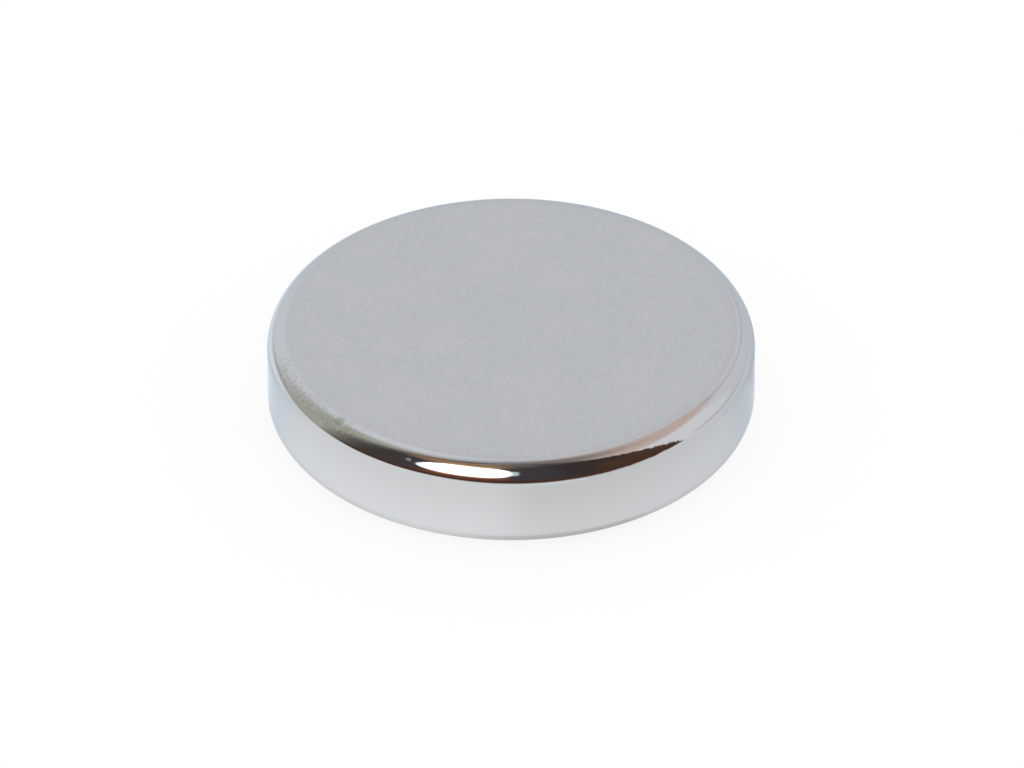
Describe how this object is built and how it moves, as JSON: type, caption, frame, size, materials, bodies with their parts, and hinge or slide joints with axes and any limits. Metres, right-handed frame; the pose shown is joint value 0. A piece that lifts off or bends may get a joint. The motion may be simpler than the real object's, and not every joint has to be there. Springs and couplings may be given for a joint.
{
  "type": "disc magnet",
  "caption": "Round flat disc magnet, solid and plated bright, with softly rounded rims, for pressing into a pocket or gluing to a face.",
  "frame": {"origin": "centre of the lower flat face, on the disc's axis", "axes": "+Z along the disc's axis, out of the upper flat face; +X and +Y lie in the plane of the faces, and the picture looks along +Y and down"},
  "size_m": [0.01, 0.01, 0.002],
  "materials": {
    "nickel_plating": "bright nickel plating over sintered magnet: satin ground faces, mirror-bright wall and rims"
  },
  "bodies": {
    "root": {"disc_magnet": "nickel_plating"}
  },
  "joints": []
}
